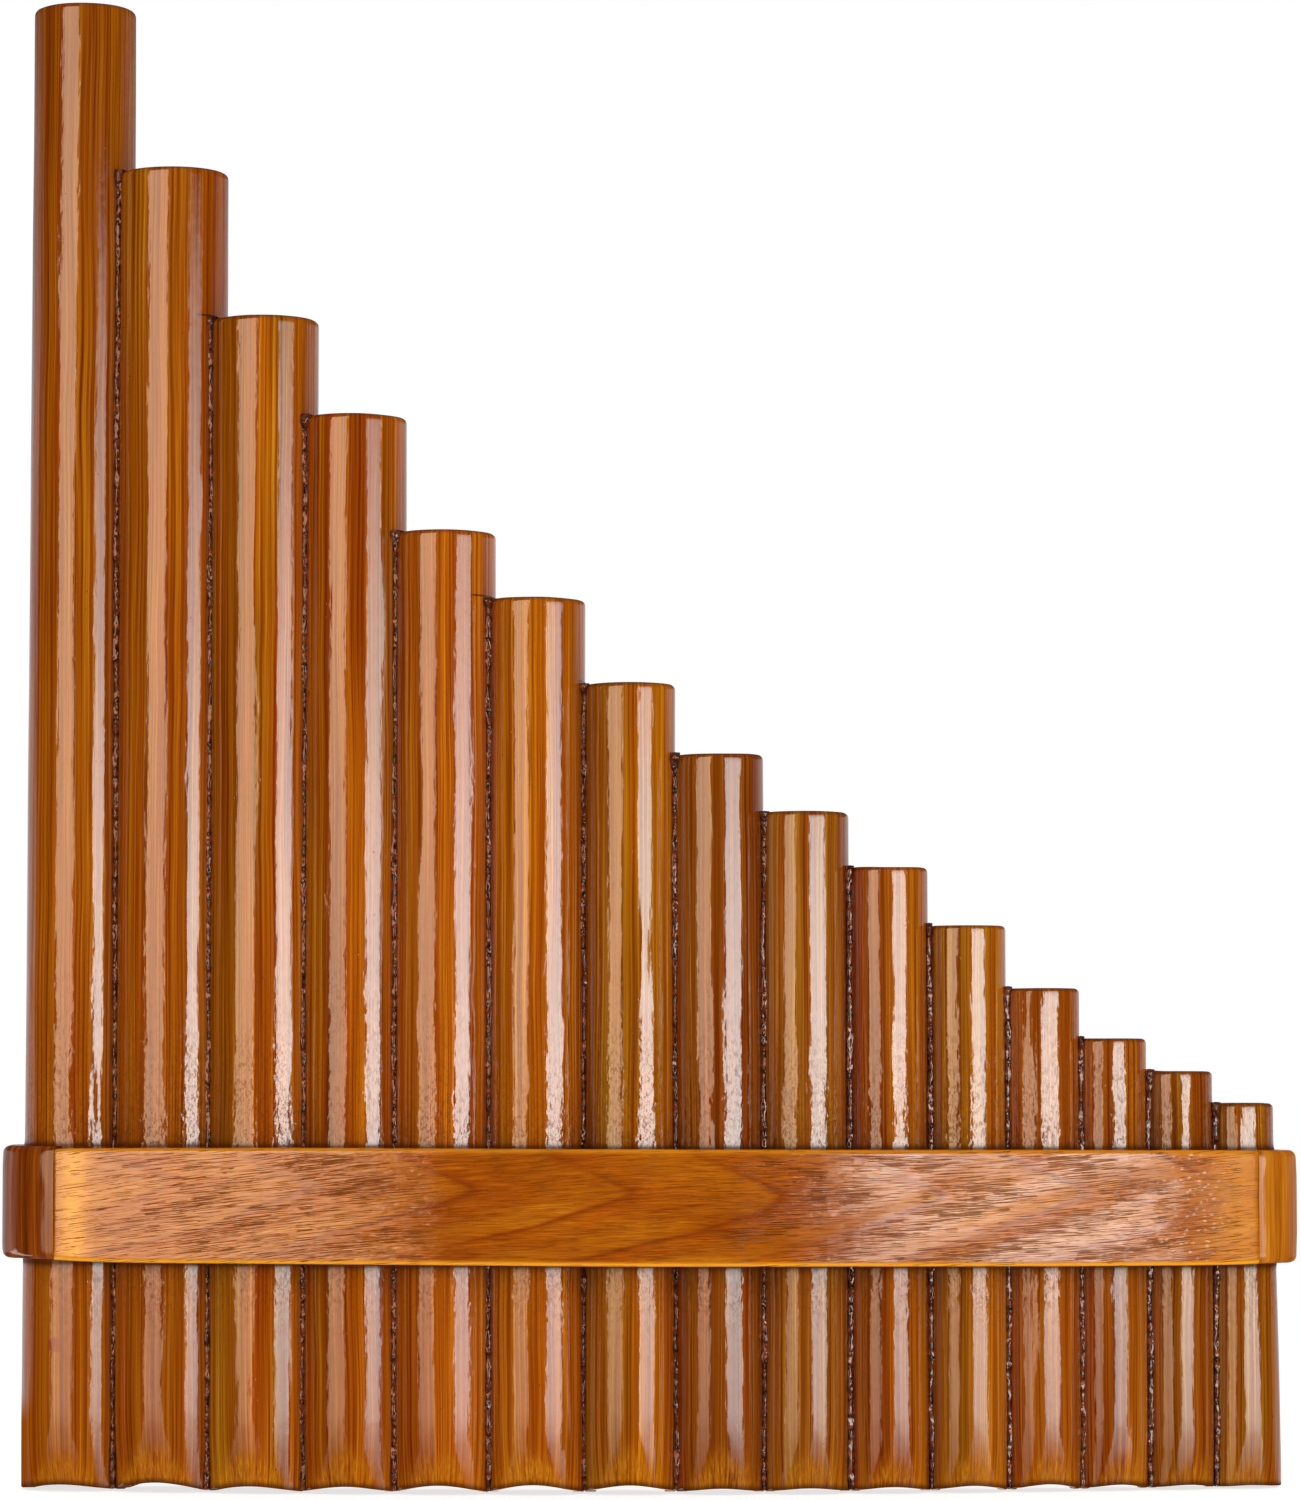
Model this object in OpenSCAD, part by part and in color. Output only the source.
// Curved fifteen-pipe pan flute with cork tuning stoppers.
// The pipes stand on their mouth ends in the plane z = 0, longest at -X, shortest at +X.
// The outer (player's) side of the bow is the front and faces -Y. Millimetres and degrees.

/* [Pipes] */
// Outside diameter of each cane, longest pipe first
pipe_od = [21.3, 22.0, 21.6, 20.3, 20.4, 19.6, 18.3, 17.8, 17.4, 16.4, 16.0, 15.3, 14.4, 14.2, 13.3]; // each from 13 to 22.5
// Cut length of each cane from the mouth plane to the far end
pipe_length = [298.5, 264.5, 234, 214, 190.5, 177, 160, 146, 134.5, 123.5, 112, 99.5, 89.5, 83, 76.5]; // each from 74 to 300, falling
// Width of the flat planed on both canes at each joint, left joint first
flat_width = [10.4, 11.2, 9.6, 9.4, 8.1, 3.3, 3.7, 4.2, 4.1, 4.2, 4.3, 4.5, 4.1, 4.1]; // each from 3 to half the smaller diameter
// Wall thickness of the longest cane
wall_long = 2.6; // [2.2:0.1:2.8]
// Wall thickness of the shortest cane
wall_short = 2.1; // [1.7:0.1:2.4]
// Glue line left between two planed flats
glue_line = 0.10; // [0.04:0.02:0.20]

/* [Bow] */
// Radius of the arc that carries the pipe axes
bow_radius = 545; // [450:5:900]

/* [Mouth end] */
// Height of the outer lip's edge above the mouth plane on the longest cane
lip_rise_long = 1.8; // [1:0.1:2.4]
// Height of the outer lip's edge above the mouth plane on the shortest cane
lip_rise_short = 0.8; // [0.4:0.1:1.4]
// Profile radius of the outer lip rounding
lip_radius = 57; // [50:1:80]
// Thickness left at the outer lip's edge
lip_edge = 0.4; // [0.2:0.05:0.8]
// Height of the small rounding on the inner (back) side
back_height = 6; // [3:0.5:8]
// Profile radius of the small rounding on the back
back_radius = 20; // [16:1:30]

/* [Binding band] */
// Height of the band's lower edge above the mouth plane
band_z = 44.9; // [40:0.1:55]
// Height of the band
band_height = 22.9; // [18:0.1:26]
// Thickness of the band outside the canes
band_thickness = 4.4; // [3.5:0.1:5]
// Depth of the shallow seats that the canes press into the strips
seat_depth = 0.8; // [0.7:0.1:1.0]
// Small chamfer along the strips' outer edges
band_edge = 0.8; // [0.4:0.1:1.2]

/* [Tuning] */
// Pitch of the longest pipe in hertz (G4 is 392)
base_pitch = 392; // [388:1:396]
// Speed of sound at playing temperature, metres per second
sound_speed = 345; // [343:1:347]
// Length of the longest cork stopper
cork_length_long = 14; // [10:0.5:16]
// Length of the shortest cork stopper
cork_length_short = 8; // [7:0.5:9]
// Radial running clearance between cork and bore
cork_fit = 0.04; // [0.02:0.01:0.08]

/* [Glue] */
// Visible width of the glue beads
bead_width = 1.5; // [1.1:0.1:1.8]

/* [Hidden] */
$fn = 72;
PIPES = len(pipe_od);
LAST = PIPES - 1;
// Sides of the bow, as signs along Y
FRONT = -1;
BACK = 1;
// Ends of the bow, as signs along X
LEFT = -1;
RIGHT = 1;
// Size of the boxes that cut parts away, and how far cutters run past a face
CUT_SIZE = 60;
OVER = 1;

// Value for cane i, running evenly from the longest cane's to the shortest cane's
function taper(long, short, i) = long + (short - long) * i / LAST;
// Remaining side of a right triangle
function leg(hypotenuse, side) = sqrt(pow(hypotenuse, 2) - pow(side, 2));

function radius(i) = pipe_od[i] / 2;
function wall(i) = taper(wall_long, wall_short, i);
function bore(i) = radius(i) - wall(i);

// Tuning: semitone steps of a major scale, and the mouth's open-end correction in bore radii
MAJOR_STEPS = [0, 2, 4, 5, 7, 9, 11];
END_CORRECTION = 0.6;
CORK_CHAMFER = 0.6;
function semitones(i) =
    12 * floor(i / len(MAJOR_STEPS)) + MAJOR_STEPS[i % len(MAJOR_STEPS)];
function pitch(i) = base_pitch * pow(2, semitones(i) / 12);
function quarter_wave(i) = 1000 * sound_speed / (4 * pitch(i));
function cork_z(i) = quarter_wave(i) - END_CORRECTION * bore(i);
function cork_length(i) = taper(cork_length_long, cork_length_short, i);

// Joint j lies between canes j and j + 1.
// Distance from cane i's axis to its planed flat at joint j
function flat_distance(i, j) = leg(radius(i), flat_width[j] / 2);
// Distance from cane i's axis to its nearer planed flat
function side_reach(i) =
    min(flat_distance(i, max(i - 1, 0)), flat_distance(i, min(i, LAST - 1)));

// Mouth end: how far in front of the axis the scallop starts
SCALLOP_START = 1.5;
// How far the box of the front cut reaches outside the cane
FRONT_CUT_REACH = 8;
// How far the box of the back cut reaches into the cane, and its whole depth
BACK_CUT_INSIDE = 1.5;
BACK_CUT_DEPTH = 6;
// Height of cane i's outer lip edge
function lip_rise(i) = taper(lip_rise_long, lip_rise_short, i);
// Height at which the lip rounding starts, so that the lip's edge keeps its thickness
function lip_height(i) = lip_rise(i) + leg(lip_radius, lip_radius - (wall(i) - lip_edge));
// Radius of the scallop that lifts the outer lip between two joints
function scallop_radius(i) =
    (pow(side_reach(i), 2) + pow(lip_rise(i), 2)) / 2 / lip_rise(i);

// Bow: axis to axis distance over joint j, and the angle it sweeps
function spacing(j) = flat_distance(j, j) + flat_distance(j + 1, j) + glue_line;
function sweep(j) = 2 * asin(spacing(j) / 2 / bow_radius);
function sweep_to(i) = i == 0 ? 0 : sweep_to(i - 1) + sweep(i - 1);
FIRST_ANGLE = -sweep_to(LAST) / 2;
function angle_at(i) = FIRST_ANGLE + sweep_to(i);
// Outward (front) normal and pipe axis on the bow, before centring
function normal(i) = [sin(angle_at(i)), -cos(angle_at(i))];
function bow_point(i) = [0, bow_radius] + bow_radius * normal(i);
// Foremost or rearmost point of cane i along its normal
function cane_face(i, side) = bow_point(i) - side * radius(i) * normal(i);

// Circle through three points: [centre x, centre y, radius]
function circle_through(start, middle, end) =
    let (
        to_middle = middle - start,
        to_end = end - start,
        middle_sq = to_middle * to_middle,
        end_sq = to_end * to_end,
        area = to_middle.x * to_end.y - to_middle.y * to_end.x,
        offset_x = (to_end.y * middle_sq - to_middle.y * end_sq) / (2 * area),
        offset_y = (to_middle.x * end_sq - to_end.x * middle_sq) / (2 * area)
    )
    [start.x + offset_x, start.y + offset_y, norm([offset_x, offset_y])];
function face_arc(side) = circle_through(
    cane_face(0, side), cane_face(floor(PIPES / 2), side), cane_face(LAST, side));
FRONT_ARC = face_arc(FRONT);
BACK_ARC = face_arc(BACK);

// Shift that centres the band's outline on the origin
MIN_X = bow_point(0).x - radius(0) - band_thickness;
MAX_X = bow_point(LAST).x + radius(LAST) + band_thickness;
MIN_Y = FRONT_ARC[1] - FRONT_ARC[2] - band_thickness;
MAX_Y = bow_point(0).y + radius(0) + band_thickness;
CENTRING = -[MIN_X + MAX_X, MIN_Y + MAX_Y] / 2;
function axis_point(i) = bow_point(i) + CENTRING;

// Joint j: direction from cane j to cane j + 1, and middle of the glue line
function joint_direction(j) =
    let (step = axis_point(j + 1) - axis_point(j)) step / norm(step);
function joint_point(j) =
    axis_point(j) + joint_direction(j) * (flat_distance(j, j) + glue_line / 2);
function joint_angle(j) = atan2(joint_direction(j).y, joint_direction(j).x);

// Height of the saw kerf above the shorter neighbour's far end
KERF = 0.5;

// Strips are bent this many degrees past the outermost canes' axes, then trimmed
STRIP_OVERRUN = 3;
STRIP_START = FIRST_ANGLE - 90 - STRIP_OVERRUN;
STRIP_SWEEP = 2 * (STRIP_OVERRUN - FIRST_ANGLE);
// Clearance around the canes in the band, and at each side of the strip ends
BAND_GAP = 0.03;

// Glue beads: rounding radius and how far its centre is set in, as shares of the bead width
BEAD_ROUND = 0.56;
BEAD_INSET = 0.12;
// Gaps from bead to planed flat, to cane surface and to the shorter cane's far end
BEAD_FLAT_GAP = 0.05;
BEAD_CANE_GAP = 0.02;
BEAD_TOP_GAP = 0.4;
// Mean distance from the joint's centre at which the groove is a bead wide
function groove_distance(j) =
    (leg(radius(j), flat_distance(j, j) - bead_width / 2)
    + leg(radius(j + 1), flat_distance(j + 1, j) - bead_width / 2)) / 2;

// Places children on cane i's axis, not turned
module at_pipe(i, z = 0) {
    translate([axis_point(i).x, axis_point(i).y, z]) children();
}
// Places children at joint j, with X pointing from cane j to cane j + 1
module at_joint(j, z = 0) {
    translate([joint_point(j).x, joint_point(j).y, z]) rotate(joint_angle(j)) children();
}

// Round bar along X that leaves a rounded profile when taken from a cutting box
module profile_bar(bar_radius, y, z) {
    translate([-CUT_SIZE, y, z]) rotate([0, 90, 0])
        cylinder(r = bar_radius, h = 2 * CUT_SIZE, $fn = 128);
}

// Scallop and roundings of the mouth end of cane i, in the cane's own frame (-Y is the front)
module lip_cut(i) {
    cane = radius(i);
    height = lip_height(i);
    front_depth = lip_radius - leg(lip_radius, height);
    // Scallop across the front wall
    translate([0, -SCALLOP_START, lip_rise(i) - scallop_radius(i)]) rotate([90, 0, 0])
        cylinder(r = scallop_radius(i), h = cane + 2 * OVER, $fn = 256);
    // Outer lip rounding
    difference() {
        translate([-CUT_SIZE / 2, -cane - FRONT_CUT_REACH, -OVER])
            cube([CUT_SIZE, FRONT_CUT_REACH + front_depth + OVER, height + OVER]);
        profile_bar(lip_radius, lip_radius - cane, height);
    }
    // Small rounding on the back
    difference() {
        translate([-CUT_SIZE / 2, cane - BACK_CUT_INSIDE, -OVER])
            cube([CUT_SIZE, BACK_CUT_DEPTH, back_height + OVER]);
        profile_bar(back_radius, cane - back_radius, back_height);
    }
}

// One cane: planed along its whole left side, and on the right only up to its shorter neighbour
module pipe(i) {
    color([0.66, 0.33, 0.08])
    difference() {
        at_pipe(i) difference() {
            cylinder(r = radius(i), h = pipe_length[i]);
            translate([0, 0, -OVER]) cylinder(r = bore(i), h = pipe_length[i] + 2 * OVER);
            rotate(angle_at(i)) lip_cut(i);
        }
        if (i > 0)
            at_joint(i - 1, -OVER)
                translate([glue_line / 2 - CUT_SIZE, -CUT_SIZE / 2, 0])
                    cube([CUT_SIZE, CUT_SIZE, pipe_length[i] + 2 * OVER]);
        if (i < LAST)
            at_joint(i, -OVER)
                translate([-glue_line / 2, -CUT_SIZE / 2, 0])
                    cube([CUT_SIZE, CUT_SIZE, pipe_length[i + 1] + KERF + OVER]);
    }
}

// Cork plug that closes the air column from behind, pushed along the bore to tune
module stopper(i) {
    cork = bore(i) - cork_fit;
    height = cork_length(i);
    color([0.80, 0.62, 0.42])
    at_pipe(i, cork_z(i))
        rotate_extrude($fn = 72)
            polygon([
                [0, 0], [cork - CORK_CHAMFER, 0], [cork, CORK_CHAMFER],
                [cork, height - CORK_CHAMFER], [cork - CORK_CHAMFER, height], [0, height]
            ]);
}

// Glue bead on the front or back of joint j
module bead(j, side) {
    outer = groove_distance(j);
    inner = flat_width[j] / 2 + BEAD_FLAT_GAP;
    height = pipe_length[j + 1] - BEAD_TOP_GAP;
    difference() {
        at_joint(j) {
            translate([-bead_width, side == BACK ? inner : -outer, 0])
                cube([2 * bead_width, outer - inner, height]);
            translate([0, side * (outer - bead_width * BEAD_INSET), 0])
                cylinder(r = bead_width * BEAD_ROUND, h = height, $fn = 96);
        }
        for (k = [j, j + 1]) {
            at_pipe(k, -OVER)
                cylinder(r = radius(k) + BEAD_CANE_GAP, h = pipe_length[k] + 2 * OVER, $fn = 288);
            at_pipe(k) rotate(angle_at(k)) lip_cut(k);
        }
    }
}
module glue_seam(j) {
    color([0.20, 0.09, 0.04]) {
        bead(j, FRONT);
        bead(j, BACK);
    }
}

// Band profile from x = 0 to its outer face, with both outer edges chamfered
module band_profile(width) {
    polygon([
        [0, 0], [width - band_edge, 0], [width, band_edge],
        [width, band_height - band_edge], [width - band_edge, band_height], [0, band_height]
    ]);
}
// Room for cane i in the band
module seat(i) {
    at_pipe(i, band_z - OVER)
        cylinder(r = radius(i) + BAND_GAP, h = band_height + 2 * OVER);
}
// Everything to the left or right of the plane through cane i's axis along its normal,
// and a little past that plane
module side_room(i, end) {
    at_pipe(i, band_z - OVER) rotate(angle_at(i))
        translate([end == RIGHT ? -BAND_GAP : -CUT_SIZE, -CUT_SIZE, 0])
            cube([CUT_SIZE + BAND_GAP, 2 * CUT_SIZE, band_height + 2 * OVER]);
}

// Strip bent along an arc; the child is its profile, with x = 0 on the arc
module bent_strip(arc) {
    difference() {
        translate([arc[0] + CENTRING.x, arc[1] + CENTRING.y, band_z]) rotate(STRIP_START)
            rotate_extrude(angle = STRIP_SWEEP, $fn = 720)
                translate([arc[2], 0]) children();
        for (i = [0 : LAST])
            seat(i);
        side_room(0, LEFT);
        side_room(LAST, RIGHT);
    }
}
// Outer strip, along the front of the canes
module band_front() {
    color([0.72, 0.42, 0.16])
    bent_strip(FRONT_ARC)
        translate([-seat_depth, 0]) band_profile(seat_depth + band_thickness);
}
// Inner strip, along the back of the canes; its outer face is on the hollow side
module band_back() {
    color([0.70, 0.40, 0.15])
    bent_strip(BACK_ARC)
        translate([seat_depth, 0]) mirror([1, 0]) band_profile(seat_depth + band_thickness);
}

// Half-round end block around outermost cane i, at the left or right end
module band_end(i, end) {
    difference() {
        at_pipe(i, band_z) rotate_extrude($fn = 96) band_profile(radius(i) + band_thickness);
        seat(i);
        side_room(i, -end);
    }
}
module band_end_left() { color([0.45, 0.22, 0.09]) band_end(0, LEFT); }
module band_end_right() { color([0.76, 0.47, 0.16]) band_end(LAST, RIGHT); }

pipe(0);  // pipe_01
pipe(1);  // pipe_02
pipe(2);  // pipe_03
pipe(3);  // pipe_04
pipe(4);  // pipe_05
pipe(5);  // pipe_06
pipe(6);  // pipe_07
pipe(7);  // pipe_08
pipe(8);  // pipe_09
pipe(9);  // pipe_10
pipe(10);  // pipe_11
pipe(11);  // pipe_12
pipe(12);  // pipe_13
pipe(13);  // pipe_14
pipe(14);  // pipe_15
stopper(0);  // stopper_01
stopper(1);  // stopper_02
stopper(2);  // stopper_03
stopper(3);  // stopper_04
stopper(4);  // stopper_05
stopper(5);  // stopper_06
stopper(6);  // stopper_07
stopper(7);  // stopper_08
stopper(8);  // stopper_09
stopper(9);  // stopper_10
stopper(10);  // stopper_11
stopper(11);  // stopper_12
stopper(12);  // stopper_13
stopper(13);  // stopper_14
stopper(14);  // stopper_15
band_front();
band_back();
band_end_left();
band_end_right();
glue_seam(0);  // glue_seam_01
glue_seam(1);  // glue_seam_02
glue_seam(2);  // glue_seam_03
glue_seam(3);  // glue_seam_04
glue_seam(4);  // glue_seam_05
glue_seam(5);  // glue_seam_06
glue_seam(6);  // glue_seam_07
glue_seam(7);  // glue_seam_08
glue_seam(8);  // glue_seam_09
glue_seam(9);  // glue_seam_10
glue_seam(10);  // glue_seam_11
glue_seam(11);  // glue_seam_12
glue_seam(12);  // glue_seam_13
glue_seam(13);  // glue_seam_14
